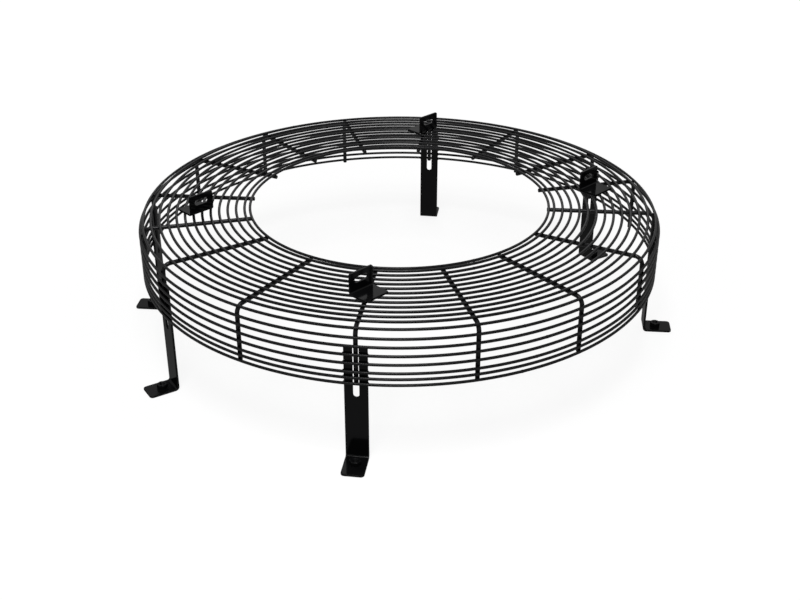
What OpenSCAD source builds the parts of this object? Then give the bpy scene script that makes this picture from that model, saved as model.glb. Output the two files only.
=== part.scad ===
// Wire fan guard: a ring-shaped cage of concentric wires on bent ribs, carried by
// six slotted strap legs, with four slotted angle brackets for a pair of rails.
//
// Origin: on the guard's axis, at the undersides of the feet.
// +Z points up through the mouth, and X runs along the two rails.
// All sizes are in millimetres.

/* [Cage] */
// Diameter of the side wall, between ring wire centres
cage_d = 787.4; // [660:0.1:980]
// Diameter of the mouth ring, between wire centres
mouth_d = 457.2; // [370:0.1:560]
// Height of the side wall, from the top rings down to the bottom ring
wall_h = 83.8; // [68:0.1:125]
// Height of the bottom ring above the mounting face
clear_h = 118.8; // [80:0.1:180]

/* [Rings] */
// Thickness of the ring wire
ring_wire = 4.1; // [3:0.1:5]
// Wanted spacing of the rings along a rib
ring_pitch = 12.7; // [10.2:0.1:18]
// Spacing of the first two rings, at the mouth
mouth_gap = 8.3; // [6:0.1:12]
// Spacing of the last three rings, at the bottom edge
edge_gap = 8.8; // [6:0.1:12]

/* [Ribs] */
// Thickness of the rib wire
rib_wire = 6.35; // [5:0.05:8]
// Inside radius of the shoulder bend
rib_bend_r = 8; // [5:0.5:16]
// How far a rib's ends stand past its first and last rings
rib_overhang = 2.5; // [2:0.1:8]
// Ribs between legs 1 and 2
bay_a_ribs = 1; // [0:1:2]
// Ribs between legs 2 and 3
bay_b_ribs = 1; // [0:1:2]
// Ribs between legs 3 and 4
bay_c_ribs = 3; // [0:1:4]

/* [Legs] */
// Direction of legs 1 and 4, from the X axis
leg_a = -50; // [-70:0.5:-30]
// Direction of legs 2 and 5, from the X axis
leg_b = -12.5; // [-20:0.5:10]
// Direction of legs 3 and 6, from the X axis
leg_c = 37; // [25:0.5:60]
// Width of the flat bar
strap_w = 31.75; // [25:0.05:40]
// Thickness of the flat bar
strap_t = 3.175; // [2:0.025:5]
// Inside radius of the bend at the foot
strap_bend_r = 3; // [1:0.5:6]
// How far the leg's upper end stays below the top rings
strap_drop = 30.8; // [25:0.1:45]
// Gap on each side of the rib in the leg's slot
slot_clear = 1; // [0.3:0.05:3]
// How far the slot runs on below the rib's end
slot_run = 20; // [10:0.5:40]
// How far the foot stands out from the leg's outer face
foot_out = 41.5; // [30:0.5:60]
// Radius of the foot's corners
foot_corner_r = 5; // [1:0.5:12]
// Distance of the bolt from the leg's outer face
bolt_out = 17; // [15:0.5:30]
// Diameter of the bolt hole through the foot
foot_hole_d = 9; // [8:0.1:11]

/* [Weld nuts] */
// Width of a nut across its flats
nut_flats = 14; // [12:0.5:17]
// Height of a nut
nut_h = 6.5; // [5:0.5:12]
// Bore of a nut, before its thread
nut_bore_d = 6.8; // [5:0.1:7.5]

/* [Rail brackets] */
// Distance between the facing sides of the tabs
rail_gap = 346; // [280:0.5:420]
// Distance between the brackets of one rail
bracket_spacing = 489; // [400:0.5:590]
// Width of a bracket
bracket_w = 41.3; // [34:0.1:50]
// Thickness of a bracket's plate
bracket_t = 3.175; // [2:0.025:4]
// Inside radius of a bracket's bend
bracket_bend_r = 2; // [1:0.5:5]
// Height of the tab, with the plate under it
tab_h = 31.5; // [29:0.5:38]
// Depth of the base plate, from the tab's facing side
base_depth = 33; // [26:0.5:40]
// Radius of a bracket's corners
bracket_corner_r = 2.5; // [0.5:0.5:5]
// Length of the slot in the tab, end to end
rail_slot_l = 24.5; // [12:0.5:28]
// Width of the slot in the tab
rail_slot_w = 8.6; // [6:0.1:10]
// Height of the slot's middle above the rings
rail_slot_up = 19.4; // [17:0.1:21]

/* [Hidden] */
$fn = 48;
ring_fn = 144;
wire_fn = 20;
finish = "#232427";
past = 1;

cage_r = cage_d / 2;
mouth_r = mouth_d / 2;
top_z = clear_h + wall_h;

// A ring lies against the outside of the ribs, so its centre is one step off theirs.
weld_step = (ring_wire + rib_wire) / 2;
rib_turn_r = rib_bend_r + rib_wire / 2;
shoulder_r = rib_turn_r + weld_step;

// The rings are spaced along a line that follows the ribs: flat, round the shoulder, down.
flat_run = cage_r - mouth_r - shoulder_r;
bend_run = shoulder_r * PI / 2;
wall_run = wall_h - shoulder_r;
whole_run = flat_run + bend_run + wall_run;
even_run = whole_run - mouth_gap - 2 * edge_gap;
even_steps = round(even_run / ring_pitch);
even_pitch = even_run / even_steps;
ring_count = even_steps + 4;

rib_end_z = clear_h - rib_overhang;
rib_bays = [bay_a_ribs, bay_b_ribs, bay_c_ribs];
half_legs = [leg_a, leg_b, leg_c];
leg_angles = concat(half_legs, [for (a = half_legs) a + 180]);
rib_angles = [for (side = [0, 180], k = [0:2]) each
    leg_and_bay(leg_angles[k] + side, leg_angles[k + 1] + side, rib_bays[k])];

// The edges of the flat bar touch the inside of the side wall's rings.
ring_inside_r = cage_r - ring_wire / 2;
strap_face_r = sqrt(pow(ring_inside_r, 2) - pow(strap_w / 2, 2));
strap_top = top_z - strap_drop;
strap_slot_w = rib_wire + 2 * slot_clear;
strap_slot_z = rib_end_z - slot_run + strap_slot_w / 2;

rings_top_z = top_z + ring_wire / 2;

function numbered(name, i) = str(name, i < 10 ? "_0" : "_", i);

// The direction of a leg's own rib, then those of the ribs between it and the next leg.
function leg_and_bay(from, to, ribs) = [for (k = [0:ribs]) from + (to - from) * k / (ribs + 1)];

// How far along the ribs ring i lies, from the mouth ring.
function ring_run(i) =
    i == 1 ? 0
    : i > ring_count - 2 ? whole_run - (ring_count - i) * edge_gap
    : mouth_gap + (i - 2) * even_pitch;

// Radius and height of the point at that distance.
function run_point(s) =
    s <= flat_run ? [mouth_r + s, top_z]
    : s <= flat_run + bend_run ? shoulder_point((s - flat_run) / shoulder_r * 180 / PI)
    : [cage_r, top_z - shoulder_r - (s - flat_run - bend_run)];

function shoulder_point(a) = [
    cage_r - shoulder_r + shoulder_r * sin(a),
    top_z - shoulder_r + shoulder_r * cos(a)];

module ring(i) {
    place = run_point(ring_run(i));
    color(finish)
        translate([0, 0, place[1]])
            rotate_extrude($fn = ring_fn)
                translate([place[0], 0])
                    circle(d = ring_wire, $fn = wire_fn);
}

// One bent wire: straight over the top, round the shoulder and down the side wall.
module rib(i) {
    start_r = mouth_r - rib_overhang;
    bend_x = cage_r - shoulder_r;
    bend_z = top_z - shoulder_r;
    color(finish)
        rotate([0, 0, rib_angles[i - 1]]) {
            translate([start_r, 0, bend_z + rib_turn_r])
                rotate([0, 90, 0])
                    cylinder(h = bend_x - start_r, d = rib_wire, $fn = wire_fn);
            translate([bend_x, 0, bend_z])
                rotate([90, 0, 0])
                    rotate_extrude(angle = 90)
                        translate([rib_turn_r, 0])
                            circle(d = rib_wire, $fn = wire_fn);
            translate([bend_x + rib_turn_r, 0, rib_end_z])
                cylinder(h = bend_z - rib_end_z, d = rib_wire, $fn = wire_fn);
        }
}

// Side view of a bar bent to an L. Its outer corner is at the origin.
module bent_profile(up, out, t, bend_r) {
    corner = bend_r + t;
    translate([0, corner]) square([t, up - corner]);
    translate([corner, 0]) square([out - corner, t]);
    translate([corner, corner])
        intersection() {
            difference() {
                circle(r = corner);
                circle(r = bend_r);
            }
            translate([-corner, -corner]) square(corner);
        }
}

// A flat bar, bent so that it stands along Z and its foot lies along X.
module bent_bar(up, out, w, t, bend_r) {
    rotate([90, 0, 0])
        linear_extrude(w, center = true)
            bent_profile(up, out, t, bend_r);
}

// What is cut off a flat bar's end, at x = end, to round its two corners.
module end_corners(end, w, t, r) {
    for (side = [0, 1])
        mirror([0, side, 0])
            translate([end - r, w / 2 - r, -past])
                difference() {
                    cube([r + past, r + past, t + 2 * past]);
                    translate([0, 0, -past]) cylinder(r = r, h = t + 4 * past);
                }
}

// Turns what is laid out along X, on a foot, so that it lies on the bar's upright part.
module on_upright() {
    rotate([0, -90, 0]) mirror([0, 0, 1]) children();
}

module leg(i) {
    foot_end = strap_t + foot_out;
    color(finish)
        rotate([0, 0, leg_angles[i - 1]])
            translate([strap_face_r - strap_t, 0, 0])
                difference() {
                    bent_bar(strap_top, foot_end, strap_w, strap_t, strap_bend_r);
                    end_corners(foot_end, strap_w, strap_t, foot_corner_r);
                    translate([strap_t + bolt_out, 0, -past])
                        cylinder(h = strap_t + 2 * past, d = foot_hole_d);
                    rib_slot();
                }
}

// The slot that lets the bar straddle its rib. It is open at the bar's upper end.
module rib_slot() {
    translate([-past, 0, strap_slot_z])
        rotate([0, 90, 0])
            cylinder(h = strap_t + 2 * past, d = strap_slot_w);
    translate([-past, -strap_slot_w / 2, strap_slot_z])
        cube([strap_t + 2 * past, strap_slot_w, strap_top - strap_slot_z + past]);
}

// Brackets 1 and 2 share one rail, and 3 and 4 the other.
module bracket(i) {
    rail = i < 3 ? 0 : 1;
    along = (i % 2 == 1 ? -1 : 1) * bracket_spacing / 2;
    color(finish)
        rotate([0, 0, 180 * rail])
            translate([along, -rail_gap / 2, rings_top_z])
                rotate([0, 0, -90])
                    difference() {
                        bent_bar(tab_h, base_depth, bracket_w, bracket_t, bracket_bend_r);
                        end_corners(base_depth, bracket_w, bracket_t, bracket_corner_r);
                        on_upright() end_corners(tab_h, bracket_w, bracket_t, bracket_corner_r);
                        rail_slot();
                    }
}

module rail_slot() {
    straight = rail_slot_l - rail_slot_w;
    translate([-past, 0, rail_slot_up]) {
        for (side = [-1, 1])
            translate([0, side * straight / 2, 0])
                rotate([0, 90, 0])
                    cylinder(h = bracket_t + 2 * past, d = rail_slot_w);
        translate([0, -straight / 2, -rail_slot_w / 2])
            cube([bracket_t + 2 * past, straight, rail_slot_w]);
    }
}

// A hexagon nut with its upper corners turned off. Two of its flats face in and out.
module weld_nut() {
    corner_r = nut_flats / 2 / cos(30);
    difference() {
        intersection() {
            rotate([0, 0, 30]) cylinder(h = nut_h, r = corner_r, $fn = 6);
            cylinder(h = nut_h, r1 = nut_flats / 2 + 2 * nut_h, r2 = nut_flats / 2);
        }
        translate([0, 0, -past]) cylinder(h = nut_h + 2 * past, d = nut_bore_d);
    }
}

module weld_nuts() {
    color(finish)
        for (a = leg_angles)
            rotate([0, 0, a])
                translate([strap_face_r + bolt_out, 0, strap_t])
                    weld_nut();
}

for (i = [1:ring_count])
    ring(i);
for (i = [1:len(rib_angles)])
    rib(i);
for (i = [1:len(leg_angles)])
    leg(i);
for (i = [1:4])
    bracket(i);
weld_nuts();
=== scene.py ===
import math

import bmesh
import bpy
import numpy as np
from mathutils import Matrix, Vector


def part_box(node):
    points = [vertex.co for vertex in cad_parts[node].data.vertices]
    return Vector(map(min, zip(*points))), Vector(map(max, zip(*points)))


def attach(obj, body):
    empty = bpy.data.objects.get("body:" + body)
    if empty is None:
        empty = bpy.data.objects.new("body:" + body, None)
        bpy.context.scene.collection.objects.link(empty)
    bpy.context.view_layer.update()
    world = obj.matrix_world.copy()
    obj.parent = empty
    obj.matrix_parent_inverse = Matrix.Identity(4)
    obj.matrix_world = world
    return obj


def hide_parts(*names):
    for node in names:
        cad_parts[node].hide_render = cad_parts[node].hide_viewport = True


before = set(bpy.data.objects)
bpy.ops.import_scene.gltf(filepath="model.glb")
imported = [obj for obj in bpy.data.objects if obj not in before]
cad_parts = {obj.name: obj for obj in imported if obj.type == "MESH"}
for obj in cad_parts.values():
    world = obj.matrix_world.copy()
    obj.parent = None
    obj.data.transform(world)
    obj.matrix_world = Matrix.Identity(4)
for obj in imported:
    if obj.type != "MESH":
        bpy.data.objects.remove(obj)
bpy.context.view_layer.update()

# The part's own sizes, as its source gives them, in millimetres.
MM = 0.001
CAGE_R, MOUTH_R = 393.7, 228.6
TOP_Z, CLEAR_H = 202.6, 118.8
RING_WIRE, RIB_WIRE = 4.1, 6.35
RIB_BEND_R, RIB_OVERHANG = 8.0, 2.5
STRAP_W, STRAP_T, STRAP_BEND_R = 31.75, 3.175, 3.0
STRAP_DROP, SLOT_CLEAR, SLOT_RUN = 30.8, 1.0, 20.0
FOOT_OUT, FOOT_CORNER_R, BOLT_OUT, FOOT_HOLE_D = 41.5, 5.0, 17.0, 9.0
NUT_FLATS, NUT_H, NUT_BORE_D, NUT_PITCH = 14.0, 6.5, 6.8, 1.25
RAIL_GAP, BRACKET_SPACING = 346.0, 489.0
BRACKET_W, BRACKET_T, BRACKET_BEND_R = 41.3, 3.175, 2.0
TAB_H, BASE_DEPTH, BRACKET_CORNER_R = 31.5, 33.0, 2.5
RAIL_SLOT_L, RAIL_SLOT_W, RAIL_SLOT_UP = 24.5, 8.6, 19.4

RING_R, RIB_R = RING_WIRE / 2, RIB_WIRE / 2
WELD_STEP = RING_R + RIB_R
RIB_TURN_R = RIB_BEND_R + RIB_R
SHOULDER_R = RIB_TURN_R + WELD_STEP
BEND_X, BEND_Z = CAGE_R - SHOULDER_R, TOP_Z - SHOULDER_R
RINGS_TOP_Z = TOP_Z + RING_R
STRAP_FACE_R = math.sqrt((CAGE_R - RING_R) ** 2 - (STRAP_W / 2) ** 2)

# What only this visual model has: millimetres, and degrees where the name says so.
STRAP_EDGE_R, BRACKET_EDGE_R = 0.6, 0.4
EDGE_STEPS, BEND_CUTS = 3, 8
WIRE_SIDES, RING_STEPS = 14, 252
RIB_CHAMFER = 0.5
BUTT_WELD_DEGREES = (252.0, 72.0)       # rings of even and odd index
BUTT_WELD_SCATTER_DEGREES = 3.0
BUTT_WELD_CLEAR_DEGREES = 0.9           # no even steps this near to the weld
BUTT_WELD_STEPS = (-2.6, -1.7, -1.0, -0.4, 0.4, 1.0, 1.7, 2.6)
BUTT_WELD_HIGH, BUTT_WELD_REACH = 0.3, 1.1
NUT_STEPS, THREAD_ROWS = 72, 44
NUT_CROWN_IN, NUT_CHAMFER_DEGREES = 0.35, 30
NUT_MOUTH_R, NUT_MOUTH_DEEP, THREAD_DEEP = 4.15, 0.55, 0.55
NUGGET_HALF, NUGGET_FLARE = (1.15, 1.75), (0.55, 0.65)  # along the rib, along the ring
WELD_SINK = 0.08
LEG_BEAD = (5.0, 2.6, 2.4)              # length, width, height
LEG_BEAD_IN, LEG_BEAD_OUT = 0.2, 0.3
BRACKET_BEAD = (5.5, 3.4, 2.2)
BRACKET_BEAD_OUT, BRACKET_BEAD_DOWN = 0.4, 0.1
ON_TOP = 0.1                            # how far a ring of the flat top may read low
BEND_CLEAR, END_CLEAR = 3, 2            # bracket beads keep off the bend and the free end
CRISP_DEGREES, NUT_CRISP_DEGREES, WELD_CRISP_DEGREES = 40.0, 24.0, 70.0


def direction(angle):
    a = math.radians(angle)
    return np.array([math.cos(a), math.sin(a), 0.0])


def across(angle):
    a = math.radians(angle)
    return np.array([-math.sin(a), math.cos(a), 0.0])


UP = np.array([0.0, 0.0, 1.0])


def node_angle(node):
    """Direction of a CAD node from the guard's axis, in degrees: the middle of what it spans."""
    co = np.array([v.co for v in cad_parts[node].data.vertices])[:, :2]
    middle = (co.min(0) + co.max(0)) / 2
    rough = math.atan2(middle[1], middle[0])
    off = (np.arctan2(co[:, 1], co[:, 0]) - rough + math.pi) % (2 * math.pi) - math.pi
    return math.degrees(rough + (off.max() + off.min()) / 2)


LEGS, BRACKETS = 6, 4
# Legs stand on half degrees and ribs on quarter degrees.
LEG_ANGLES = [round(2 * node_angle(f"leg_{i}")) / 2 for i in range(1, LEGS + 1)]
RIB_NODES = sorted(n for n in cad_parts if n.startswith("rib_"))
RING_NODES = sorted(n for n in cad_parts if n.startswith("ring_"))
RIB_ANGLES = [round(4 * node_angle(n)) / 4 for n in RIB_NODES]


# ---------------------------------------------------------------- materials

# Noise scales, per metre of the object.
SHADE_SCALE, DUST_SCALE, ROUGHNESS_SCALE, PEEL_SCALE = 22, 60, 140, 650
SHADE_RANGE = (0.8, 1.25)
ROUGHNESS_RANGE = (0.42, 0.6)
DUST_COLOUR = (0.30, 0.29, 0.27)
PEEL_STRENGTH, PEEL_HEIGHT = 0.3, 0.00006


def map_range(nodes, links, value, low, high, to_low, to_high):
    r = nodes.new("ShaderNodeMapRange")
    for socket, number in zip(("From Min", "From Max", "To Min", "To Max"),
                              (low, high, to_low, to_high)):
        r.inputs[socket].default_value = number
    links.new(value, r.inputs["Value"])
    return r.outputs["Result"]


def powder_coat(name, colour, coat, coat_rough, peel=1.0, dust=0.0):
    """Black powder coat: a dark body under a weak clear skin, with orange peel,
    faint changes of shade and a little settled dust."""
    mat = bpy.data.materials.new(name)
    mat.use_nodes = True
    nodes, links = mat.node_tree.nodes, mat.node_tree.links
    shader = nodes["Principled BSDF"]
    shader.inputs["Specular IOR Level"].default_value = 0.0
    shader.inputs["Coat Weight"].default_value = coat
    shader.inputs["Coat Roughness"].default_value = coat_rough
    place = nodes.new("ShaderNodeTexCoord")

    def noise(scale, detail, roughness=0.5):
        n = nodes.new("ShaderNodeTexNoise")
        n.inputs["Scale"].default_value = scale
        n.inputs["Detail"].default_value = detail
        n.inputs["Roughness"].default_value = roughness
        links.new(place.outputs["Object"], n.inputs["Vector"])
        return n.outputs["Fac"]

    def spread(value, *limits):
        return map_range(nodes, links, value, *limits)

    def times(x, y):
        m = nodes.new("ShaderNodeMath")
        m.operation = "MULTIPLY"
        links.new(x, m.inputs[0])
        links.new(y, m.inputs[1])
        return m.outputs[0]

    def mixed(factor, one, two):
        m = nodes.new("ShaderNodeMix")
        m.data_type = "RGBA"
        links.new(factor, m.inputs["Factor"])
        for socket, value in (("A", one), ("B", two)):
            if isinstance(value, tuple):
                m.inputs[socket].default_value = value + (1.0,)
            else:
                links.new(value, m.inputs[socket])
        return m.outputs["Result"]

    # Broad, faint changes of shade, where the powder lies thicker or thinner.
    thin, thick = (tuple(factor * c for c in colour) for factor in SHADE_RANGE)
    shade = mixed(spread(noise(SHADE_SCALE, 4), 0.35, 0.65, 0, 1), thin, thick)
    # Fine dust settles in patches on what faces up.
    shape = nodes.new("ShaderNodeNewGeometry")
    split = nodes.new("ShaderNodeSeparateXYZ")
    links.new(shape.outputs["Normal"], split.inputs["Vector"])
    settled = times(spread(split.outputs["Z"], 0.55, 1.0, 0, 1),
                    spread(noise(DUST_SCALE, 6, 0.62), 0.38, 0.72, 0, dust))
    links.new(mixed(settled, shade, DUST_COLOUR), shader.inputs["Base Color"])
    links.new(spread(noise(ROUGHNESS_SCALE, 3), 0.3, 0.7, *ROUGHNESS_RANGE),
              shader.inputs["Roughness"])
    # Orange peel, about a millimetre and a half from crest to crest.
    bump = nodes.new("ShaderNodeBump")
    bump.inputs["Strength"].default_value = PEEL_STRENGTH * peel
    bump.inputs["Distance"].default_value = PEEL_HEIGHT
    links.new(noise(PEEL_SCALE, 2, 0.4), bump.inputs["Height"])
    links.new(bump.outputs["Normal"], shader.inputs["Normal"])
    links.new(bump.outputs["Normal"], shader.inputs["Coat Normal"])
    return mat


WIRE_MAT = powder_coat("wire_powder_coat", (0.006, 0.006, 0.0066), 0.2, 0.22, dust=0.006)
PLATE_MAT = powder_coat("plate_powder_coat", (0.003, 0.003, 0.0033), 0.12, 0.12, dust=0.003)
NUT_MAT = powder_coat("nut_black_oxide", (0.004, 0.004, 0.0044), 0.12, 0.32, peel=0.5)
WELD_MAT = powder_coat("weld_powder_coat", (0.006, 0.006, 0.0066), 0.18, 0.3,
                       peel=1.6, dust=0.006)


# ---------------------------------------------------------------- pieces

def add_piece(name, verts, faces, mat, slot, *replaced, sharp=CRISP_DEGREES):
    """A piece from points in millimetres. Edges steeper than `sharp` degrees stay crisp."""
    mesh = bpy.data.meshes.new(name)
    mesh.from_pydata([tuple(v) for v in np.asarray(verts) * MM], [], faces)
    mesh.update()
    bm = bmesh.new()
    bm.from_mesh(mesh)
    bmesh.ops.remove_doubles(bm, verts=bm.verts, dist=1e-6)
    bmesh.ops.recalc_face_normals(bm, faces=bm.faces)
    for face in bm.faces:
        face.smooth = True
    for edge in bm.edges:
        if len(edge.link_faces) == 2 and edge.calc_face_angle(0.0) > math.radians(sharp):
            edge.smooth = False
    bm.to_mesh(mesh)
    bm.free()
    mesh.materials.append(mat)
    obj = bpy.data.objects.new(name, mesh)
    bpy.context.scene.collection.objects.link(obj)
    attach(obj, "root")
    if replaced:
        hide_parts(*replaced)
    return obj


def loft(sections, closed=False):
    """Faces between equal loops of points. Open ends are closed with a fan."""
    count, around = len(sections), len(sections[0])
    verts = [p for s in sections for p in s]
    faces = []
    for i in range(count if closed else count - 1):
        j = (i + 1) % count
        for k in range(around):
            m = (k + 1) % around
            faces.append((i * around + k, i * around + m, j * around + m, j * around + k))
    if not closed:
        faces.append(tuple(range(around))[::-1])
        faces.append(tuple((count - 1) * around + k for k in range(around)))
    return verts, faces


def join(parts):
    """One list of points and one of faces from many parts."""
    verts, faces = [], []
    for v, f in parts:
        base = len(verts)
        verts.extend(v)
        faces.extend(tuple(base + k for k in face) for face in f)
    return verts, faces


def wire(centres, side, normal, radii, closed=False):
    """A round wire: side[i] and normal[i] span the section at centres[i]."""
    turn = [2 * math.pi * k / WIRE_SIDES for k in range(WIRE_SIDES)]
    sections = [
        [c + r * (math.cos(t) * s + math.sin(t) * n) for t in turn]
        for c, s, n, r in zip(centres, side, normal, radii)]
    return loft(sections, closed)


def ring_piece(node, index):
    """A ring bent from wire, with the collar of its butt weld."""
    low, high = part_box(node)
    z = (low.z + high.z) / 2 / MM
    radius = (high.x - low.x) / 2 / MM - RING_R
    weld_at = BUTT_WELD_DEGREES[index % 2] + BUTT_WELD_SCATTER_DEGREES * math.sin(2.1 * index)
    angles = [360.0 * k / RING_STEPS for k in range(RING_STEPS)]
    near = [weld_at + math.degrees(d / radius) for d in BUTT_WELD_STEPS]
    angles = sorted([a for a in angles if abs(a - weld_at) > BUTT_WELD_CLEAR_DEGREES] + near)
    centres = [radius * direction(a) + z * UP for a in angles]
    off = [math.radians(a - weld_at) * radius for a in angles]
    radii = [RING_R + BUTT_WELD_HIGH * math.exp(-(d / BUTT_WELD_REACH) ** 2) for d in off]
    verts, faces = wire(centres, [direction(a) for a in angles], [UP] * len(angles), radii, True)
    add_piece(f"{node}_wire", verts, faces, WIRE_MAT, "wire", node)
    return radius, z


def rib_piece(node, angle):
    """A rib: straight over the top, round the shoulder and down the side, with cropped ends."""
    out = direction(angle)
    start, end = MOUTH_R - RIB_OVERHANG, CLEAR_H - RIB_OVERHANG
    flat = [(start + (BEND_X - start) * k / 6, BEND_Z + RIB_TURN_R, 0.0) for k in range(6)]
    bend = [(BEND_X + RIB_TURN_R * math.sin(math.radians(a)),
             BEND_Z + RIB_TURN_R * math.cos(math.radians(a)), a) for a in range(0, 91, 9)]
    wall = [(BEND_X + RIB_TURN_R, BEND_Z + (end - BEND_Z) * k / 3, 90.0) for k in range(1, 4)]
    path = flat + bend + wall
    first, last = path[0], path[-1]
    path = ([first, (first[0] + RIB_CHAMFER, first[1], 0.0)] + path[1:-1]
            + [(last[0], last[1] + RIB_CHAMFER, 90.0), last])
    tip_r = RIB_R - RIB_CHAMFER
    radii = [tip_r] + [RIB_R] * (len(path) - 2) + [tip_r]
    centres = [x * out + z * UP for x, z, _ in path]
    normal = [math.sin(math.radians(a)) * out + math.cos(math.radians(a)) * UP for _, _, a in path]
    verts, faces = wire(centres, [across(angle)] * len(path), normal, radii)
    add_piece(f"{node}_wire", verts, faces, WIRE_MAT, "wire", node)


def arc(cx, cy, r, a0, a1, steps):
    """Points along an arc from angle a0 to a1, both in degrees and both included."""
    return [(cx + r * math.cos(math.radians(a0 + (a1 - a0) * k / steps)),
             cy + r * math.sin(math.radians(a0 + (a1 - a0) * k / steps)))
            for k in range(steps + 1)]


def inset(loop, d):
    """The loop moved into the plate, which lies on its left."""
    p = np.array(loop)
    ahead = np.roll(p, -1, 0) - p
    ahead /= np.linalg.norm(ahead, axis=1)[:, None]
    left = np.stack([-ahead[:, 1], ahead[:, 0]], 1)
    both = left + np.roll(left, 1, 0)
    both /= (both * left).sum(1)[:, None]
    return p + d * both


def bent_plate(outline, holes, thick, bend_r, edge_r):
    """A plate with rounded edges, cut flat and then bent to an L as its CAD solid is.

    Flat, u runs along the bar from the upright to the foot, and the bend starts at u = 0.
    """
    bm = bmesh.new()
    borders = [], []
    levels = [(edge_r * (1 - math.cos(t)), edge_r * (1 - math.sin(t)))
              for t in (math.pi / 2 * k / EDGE_STEPS for k in range(EDGE_STEPS + 1))]
    profile = levels[::-1] + [(d, thick - w) for d, w in levels]
    for loop in [outline] + holes:
        rows = [[bm.verts.new((x, y, w)) for x, y in inset(loop, d)] for d, w in profile]
        for a, b in zip(rows, rows[1:]):
            for k in range(len(a)):
                m = (k + 1) % len(a)
                bm.faces.new((a[k], a[m], b[m], b[k]))
        for border, row in zip(borders, (rows[0], rows[-1])):
            border += [bm.edges.get((row[k - 1], row[k])) for k in range(len(row))]
    for border in borders:
        bmesh.ops.triangle_fill(bm, use_beauty=True, edges=border, normal=(0, 0, 1))
    corner = bend_r + thick
    mid_r = corner - thick / 2
    bend_run = mid_r * math.pi / 2
    for k in range(BEND_CUTS + 1):
        geom = bm.verts[:] + bm.edges[:] + bm.faces[:]
        bmesh.ops.bisect_plane(bm, geom=geom, dist=1e-5,
                               plane_co=(bend_run * k / BEND_CUTS, 0, 0), plane_no=(1, 0, 0))
    for v in bm.verts:
        u, side, w = v.co
        if u <= 0:
            x, z = w, corner - u
        elif u >= bend_run:
            x, z = corner + u - bend_run, w
        else:
            turn = u / mid_r
            x = corner - (corner - w) * math.cos(turn)
            z = corner - (corner - w) * math.sin(turn)
        v.co = (x, side, z)
    bm.verts.ensure_lookup_table()
    bm.verts.index_update()
    verts = [np.array(v.co) for v in bm.verts]
    faces = [tuple(v.index for v in f.verts) for f in bm.faces]
    bm.free()
    return verts, faces


def flat_places(bend_r, thick):
    """How a height on the upright, and a distance out on the foot, read along the flat plate."""
    corner = bend_r + thick
    bend_run = (corner - thick / 2) * math.pi / 2
    return (lambda height: corner - height), (lambda out: bend_run + out - corner)


def keep_faces_flat(obj):
    """Shade the big faces flat, and the rounded edges alone as round."""
    weighted = obj.modifiers.new("flat_faces", "WEIGHTED_NORMAL")
    weighted.keep_sharp = True
    weighted.weight = 80


def leg_piece(index):
    """A leg: a bar with a fork over its rib, bent to a foot with a bolt hole."""
    angle = LEG_ANGLES[index - 1]
    at_height, at_out = flat_places(STRAP_BEND_R, STRAP_T)
    foot_end = at_out(STRAP_T + FOOT_OUT)
    top = at_height(TOP_Z - STRAP_DROP)
    half, r = STRAP_W / 2, FOOT_CORNER_R
    slot_half = RIB_R + SLOT_CLEAR
    slot_base = at_height(CLEAR_H - RIB_OVERHANG - SLOT_RUN + slot_half)
    outline = ([(top, -half), (foot_end - r, -half)]
               + arc(foot_end - r, -half + r, r, -90, 0, 6)[1:]
               + arc(foot_end - r, half - r, r, 0, 90, 6)
               + [(top, half), (top, slot_half)]
               + arc(slot_base, 0, slot_half, 90, -90, 12)
               + [(top, -slot_half)])
    hole = arc(at_out(STRAP_T + BOLT_OUT), 0, FOOT_HOLE_D / 2, 360, 0, 32)[:-1]
    verts, faces = bent_plate(outline, [hole], STRAP_T, STRAP_BEND_R, STRAP_EDGE_R)
    out, side = direction(angle), across(angle)
    placed = [(STRAP_FACE_R - STRAP_T + v[0]) * out + v[1] * side + v[2] * UP for v in verts]
    obj = add_piece(f"leg_{index}_strap", placed, faces, PLATE_MAT, "plate", f"leg_{index}")
    keep_faces_flat(obj)


def bracket_place(index):
    """Half-turn sign and distance along X: brackets 1 and 2 are at low Y, 3 and 4 at high Y."""
    flip = 1 if index < 3 else -1
    along = (-1 if index % 2 else 1) * BRACKET_SPACING / 2
    return flip, along


def bracket_piece(index):
    """An angle bracket: a base plate on the rings and a tab with a level slot."""
    at_height, at_out = flat_places(BRACKET_BEND_R, BRACKET_T)
    half, r = BRACKET_W / 2, BRACKET_CORNER_R
    end, top = at_out(BASE_DEPTH), at_height(TAB_H)
    outline = (arc(top + r, -half + r, r, 180, 270, 5)
               + arc(end - r, -half + r, r, 270, 360, 5)
               + arc(end - r, half - r, r, 0, 90, 5)
               + arc(top + r, half - r, r, 90, 180, 5))
    mid, run = at_height(RAIL_SLOT_UP), (RAIL_SLOT_L - RAIL_SLOT_W) / 2
    slot = (arc(mid, run, RAIL_SLOT_W / 2, 180, 0, 12)
            + arc(mid, -run, RAIL_SLOT_W / 2, 0, -180, 12))
    verts, faces = bent_plate(outline, [slot], BRACKET_T, BRACKET_BEND_R, BRACKET_EDGE_R)
    flip, along = bracket_place(index)
    placed = [np.array([flip * (along + v[1]), -flip * (RAIL_GAP / 2 + v[0]), RINGS_TOP_Z + v[2]])
              for v in verts]
    obj = add_piece(f"bracket_{index}_plate", placed, faces, PLATE_MAT, "plate",
                    f"bracket_{index}")
    keep_faces_flat(obj)


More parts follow.
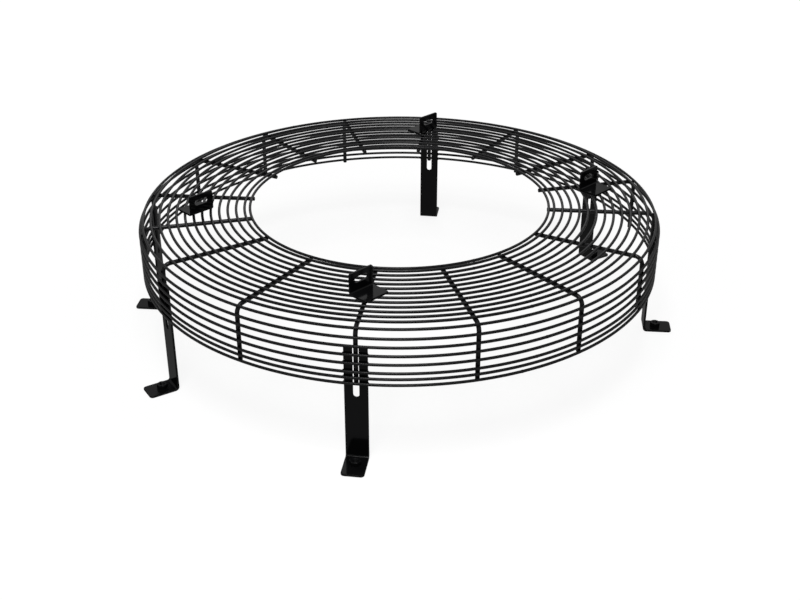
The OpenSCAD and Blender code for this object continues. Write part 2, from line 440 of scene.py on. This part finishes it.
def nut_mesh():
    """A hexagon nut with turned corners, countersunk mouths and a real thread."""
    turn = [2 * math.pi * k / NUT_STEPS for k in range(NUT_STEPS)]
    flat_r = NUT_FLATS / 2
    crown_r = flat_r - NUT_CROWN_IN
    hexagon = [flat_r / math.cos((t + math.pi / 6) % (math.pi / 3) - math.pi / 6) for t in turn]

    def loop(radii, heights):
        return [np.array([r * math.cos(t), r * math.sin(t), z])
                for r, t, z in zip(radii, turn, heights)]

    def level(r, z):
        return loop([r] * NUT_STEPS, [z] * NUT_STEPS)

    slope = math.tan(math.radians(NUT_CHAMFER_DEGREES))
    shoulder = [NUT_H - max(0.0, r - crown_r) * slope for r in hexagon]
    sections = [level(NUT_MOUTH_R, 0.0), loop(hexagon, [0.0] * NUT_STEPS),
                loop(hexagon, shoulder), level(crown_r, NUT_H), level(NUT_MOUTH_R, NUT_H)]
    for k in range(THREAD_ROWS + 1):
        z = NUT_H - NUT_MOUTH_DEEP - (NUT_H - 2 * NUT_MOUTH_DEEP) * k / THREAD_ROWS
        radii = []
        for t in turn:
            phase = (z / NUT_PITCH - t / (2 * math.pi)) % 1.0
            radii.append(NUT_BORE_D / 2 + THREAD_DEEP * (1 - abs(2 * phase - 1)))
        sections.append(loop(radii, [z] * NUT_STEPS))
    return loft(sections, True)


def turned(verts, angle, centre):
    """The points turned to an angle about Z and moved to a centre."""
    out, side = direction(angle), across(angle)
    return [centre + v[0] * out + v[1] * side + v[2] * UP for v in verts]


def nuts_piece():
    """The six nuts, one on each foot."""
    verts, faces = nut_mesh()
    parts = [(turned(verts, a, (STRAP_FACE_R + BOLT_OUT) * direction(a) + STRAP_T * UP), faces)
             for a in LEG_ANGLES]
    verts, faces = join(parts)
    add_piece("weld_nuts_threaded", verts, faces, NUT_MAT, "hardware", "weld_nuts",
              sharp=NUT_CRISP_DEGREES)


def nugget(point, rib_way, ring_way, out):
    """The weld between a rib and the ring that lies across it: a waisted plug that fills
    the gap from the rib's surface to the ring's."""
    steps, levels = 16, 5
    sections = []
    for j in range(levels):
        t = j / (levels - 1)
        flare = (2 * t - 1) ** 2
        row = []
        for k in range(steps):
            a = 2 * math.pi * k / steps
            x = (NUGGET_HALF[0] + NUGGET_FLARE[0] * flare) * math.cos(a)
            y = (NUGGET_HALF[1] + NUGGET_FLARE[1] * flare) * math.sin(a)
            above = RING_R - math.sqrt(RING_R ** 2 - x * x) + WELD_SINK
            below = math.sqrt(RIB_R ** 2 - y * y) - RIB_R - WELD_SINK
            row.append(point + x * rib_way + y * ring_way + (below + t * (above - below)) * out)
        sections.append(row)
    return loft(sections)


def wedge_bead(point, way, side, out, length, wide, high):
    """A short bead of weld, thickest in its middle."""
    steps, around = 8, 10
    sections = []
    for j in range(steps + 1):
        s = -1 + 2 * j / steps
        swell = math.sqrt(max(0.02, 1 - s * s))
        c = point + way * (length / 2 * s)
        sections.append([c + side * (wide / 2 * swell * math.cos(2 * math.pi * k / around))
                         + out * (high / 2 * swell * math.sin(2 * math.pi * k / around))
                         for k in range(around)])
    return loft(sections)


rings = [ring_piece(node, i) for i, node in enumerate(RING_NODES)]
for node, angle in zip(RIB_NODES, RIB_ANGLES):
    rib_piece(node, angle)
for i in range(1, LEGS + 1):
    leg_piece(i)
for i in range(1, BRACKETS + 1):
    bracket_piece(i)
nuts_piece()

# A nugget joins each rib to each ring, along the line square to both.
nuggets = []
for angle in RIB_ANGLES:
    out = direction(angle)
    for radius, z in rings:
        lean = math.atan2(max(0.0, radius - BEND_X), max(0.0, z - BEND_Z))
        normal = math.sin(lean) * out + math.cos(lean) * UP
        rib_way = math.cos(lean) * out - math.sin(lean) * UP
        point = radius * out + z * UP - RING_R * normal
        nuggets.append(nugget(point, rib_way, across(angle), normal))
verts, faces = join(nuggets)
add_piece("wire_weld_nuggets", verts, faces, WELD_MAT, "wire", sharp=WELD_CRISP_DEGREES)

# A bead joins each edge of a leg to each ring that passes outside it.
beads = []
for angle in LEG_ANGLES:
    for radius, z in rings:
        if z < TOP_Z - STRAP_DROP:
            for hand in (-1, 1):
                out, side = direction(angle), across(angle) * hand
                spot = ((STRAP_FACE_R - LEG_BEAD_IN) * out
                        + (STRAP_W / 2 + LEG_BEAD_OUT) * side + z * UP)
                beads.append(wedge_bead(spot, UP, side, out, *LEG_BEAD))
verts, faces = join(beads)
add_piece("leg_weld_beads", verts, faces, WELD_MAT, "plate", sharp=WELD_CRISP_DEGREES)

# Beads join the brackets' ends to the rings under them.
beads = []
for index in range(1, BRACKETS + 1):
    flip, along = bracket_place(index)
    for hand in (-1, 1):
        x = along + hand * BRACKET_W / 2
        for radius, z in rings:
            if z < TOP_Z - ON_TOP or radius < abs(x):
                continue
            y = math.sqrt(radius ** 2 - x ** 2)
            if RAIL_GAP / 2 + BEND_CLEAR < y < RAIL_GAP / 2 + BASE_DEPTH - END_CLEAR:
                spot = np.array([flip * (x + hand * BRACKET_BEAD_OUT), -flip * y,
                                 RINGS_TOP_Z - BRACKET_BEAD_DOWN])
                way = np.array([flip * y, flip * x, 0.0]) / radius
                side = np.array([-way[1], way[0], 0.0])
                beads.append(wedge_bead(spot, way, side, UP, *BRACKET_BEAD))
verts, faces = join(beads)
add_piece("bracket_weld_beads", verts, faces, WELD_MAT, "plate", sharp=WELD_CRISP_DEGREES)


# ---------------------------------------------------------------- floor, lights, camera

def seen_directly(nodes, links):
    """1 for the rays that show a background: from the camera, off gloss and through glass."""
    path = nodes.new("ShaderNodeLightPath")
    value = path.outputs["Is Camera Ray"]
    for name in ("Is Glossy Ray", "Is Transmission Ray"):
        either = nodes.new("ShaderNodeMath")
        either.operation = "MAXIMUM"
        links.new(value, either.inputs[0])
        links.new(path.outputs[name], either.inputs[1])
        value = either.outputs[0]
    return value


def white_floor(albedo, near, far, glow_span):
    """A floor that those rays see as white paper. It keeps the object's shadow.

    Its glow rises from near to far over glow_span metres from the axis, as the lamps light
    it more near the guard.
    """
    mat = bpy.data.materials.new("floor_white")
    mat.use_nodes = True
    nodes, links = mat.node_tree.nodes, mat.node_tree.links
    nodes.clear()
    output = nodes.new("ShaderNodeOutputMaterial")
    diffuse = nodes.new("ShaderNodeBsdfDiffuse")
    diffuse.inputs["Color"].default_value = (albedo, albedo, albedo, 1.0)
    emission = nodes.new("ShaderNodeEmission")
    strength = nodes.new("ShaderNodeMath")
    strength.operation = "MULTIPLY"
    links.new(seen_directly(nodes, links), strength.inputs[0])
    place = nodes.new("ShaderNodeTexCoord")
    distance = nodes.new("ShaderNodeVectorMath")
    distance.operation = "LENGTH"
    links.new(place.outputs["Object"], distance.inputs[0])
    glow = map_range(nodes, links, distance.outputs["Value"], *glow_span, near, far)
    links.new(glow, strength.inputs[1])
    links.new(strength.outputs[0], emission.inputs["Strength"])
    add = nodes.new("ShaderNodeAddShader")
    links.new(diffuse.outputs[0], add.inputs[0])
    links.new(emission.outputs[0], add.inputs[1])
    links.new(add.outputs[0], output.inputs["Surface"])
    return mat


FLOOR_HALF, FLOOR_DROP = 14.0, 0.0005
FLOOR_ALBEDO, FLOOR_GLOW, FLOOR_GLOW_SPAN = 0.13, (0.875, 0.985), (0.5, 2.6)
SKY_STRENGTH = 0.12
floor_mesh = bpy.data.meshes.new("floor")
floor_mesh.from_pydata(
    [(-FLOOR_HALF, -FLOOR_HALF, 0), (FLOOR_HALF, -FLOOR_HALF, 0),
     (FLOOR_HALF, FLOOR_HALF, 0), (-FLOOR_HALF, FLOOR_HALF, 0)], [], [(0, 1, 2, 3)])
floor_mesh.materials.append(white_floor(FLOOR_ALBEDO, *FLOOR_GLOW, FLOOR_GLOW_SPAN))
floor = bpy.data.objects.new("floor", floor_mesh)
floor.location = (0, 0, -FLOOR_DROP)
bpy.context.scene.collection.objects.link(floor)

# A soft sky for the light that falls on the guard, and plain white where it is seen.
world = bpy.data.worlds.new("studio")
bpy.context.scene.world = world
world.use_nodes = True
nodes, links = world.node_tree.nodes, world.node_tree.links
nodes.clear()
output = nodes.new("ShaderNodeOutputWorld")
soft = nodes.new("ShaderNodeBackground")
soft.inputs["Color"].default_value = (1.0, 1.0, 1.0, 1.0)
soft.inputs["Strength"].default_value = SKY_STRENGTH
white = nodes.new("ShaderNodeBackground")
white.inputs["Color"].default_value = (1.0, 1.0, 1.0, 1.0)
white.inputs["Strength"].default_value = 1.0
blend = nodes.new("ShaderNodeMixShader")
links.new(seen_directly(nodes, links), blend.inputs["Fac"])
links.new(soft.outputs[0], blend.inputs[1])
links.new(white.outputs[0], blend.inputs[2])
links.new(blend.outputs[0], output.inputs["Surface"])


LIGHTS_AIM = Vector((0, 0, 0.12))


def area_light(name, azimuth, elevation, distance, size, radiance):
    """A rectangular soft light that faces the guard. Its size is (width, height)."""
    light = bpy.data.lights.new(name, "AREA")
    light.shape = "RECTANGLE"
    light.size, light.size_y = size
    light.energy = radiance * math.pi * size[0] * size[1]
    obj = bpy.data.objects.new(name, light)
    obj.visible_camera = False
    e = math.radians(elevation)
    place = Vector(direction(azimuth) * math.cos(e) + UP * math.sin(e)) * distance
    obj.location = LIGHTS_AIM + place
    obj.rotation_mode = "QUATERNION"
    obj.rotation_quaternion = (-place).to_track_quat("-Z", "Y")
    bpy.context.scene.collection.objects.link(obj)
    return obj


# Together they light an upward face about as bright as its colour is written. The two far
# ones are mirrored in the level plates. The strip gives most of the light, the bright line
# on the front foot's bend and the highlights on the rings.
area_light("far_panel", 47, 30, 3.2, (1.9, 1.5), 1.2)
area_light("far_glow", 46, 30, 3.9, (3.9, 2.4), 0.6)
area_light("high_strip", 220, 64, 3.2, (1.05, 1.6), 18.0)
area_light("right_sky", 0, 47, 3.4, (2.4, 1.2), 0.9)

# The camera was fitted to the rings in the photograph.
FOCAL_PIXELS, FRAME_PIXELS, SENSOR_MM = 1171.485, 800, 36
camera_data = bpy.data.cameras.new("camera")
camera_data.sensor_width = SENSOR_MM
camera_data.lens = FOCAL_PIXELS * SENSOR_MM / FRAME_PIXELS
camera_data.shift_y = 0.0005
camera_data.clip_start, camera_data.clip_end = 0.05, 60
camera = bpy.data.objects.new("camera", camera_data)
camera.location = (-1.1673, -1.1761, 0.9314)
looking = Vector((0.61895, 0.62288, -0.47855))
camera.rotation_mode = "QUATERNION"
camera.rotation_quaternion = looking.to_track_quat("-Z", "Y")
bpy.context.scene.collection.objects.link(camera)
bpy.context.scene.camera = camera
bpy.context.scene.view_settings.view_transform = "Standard"
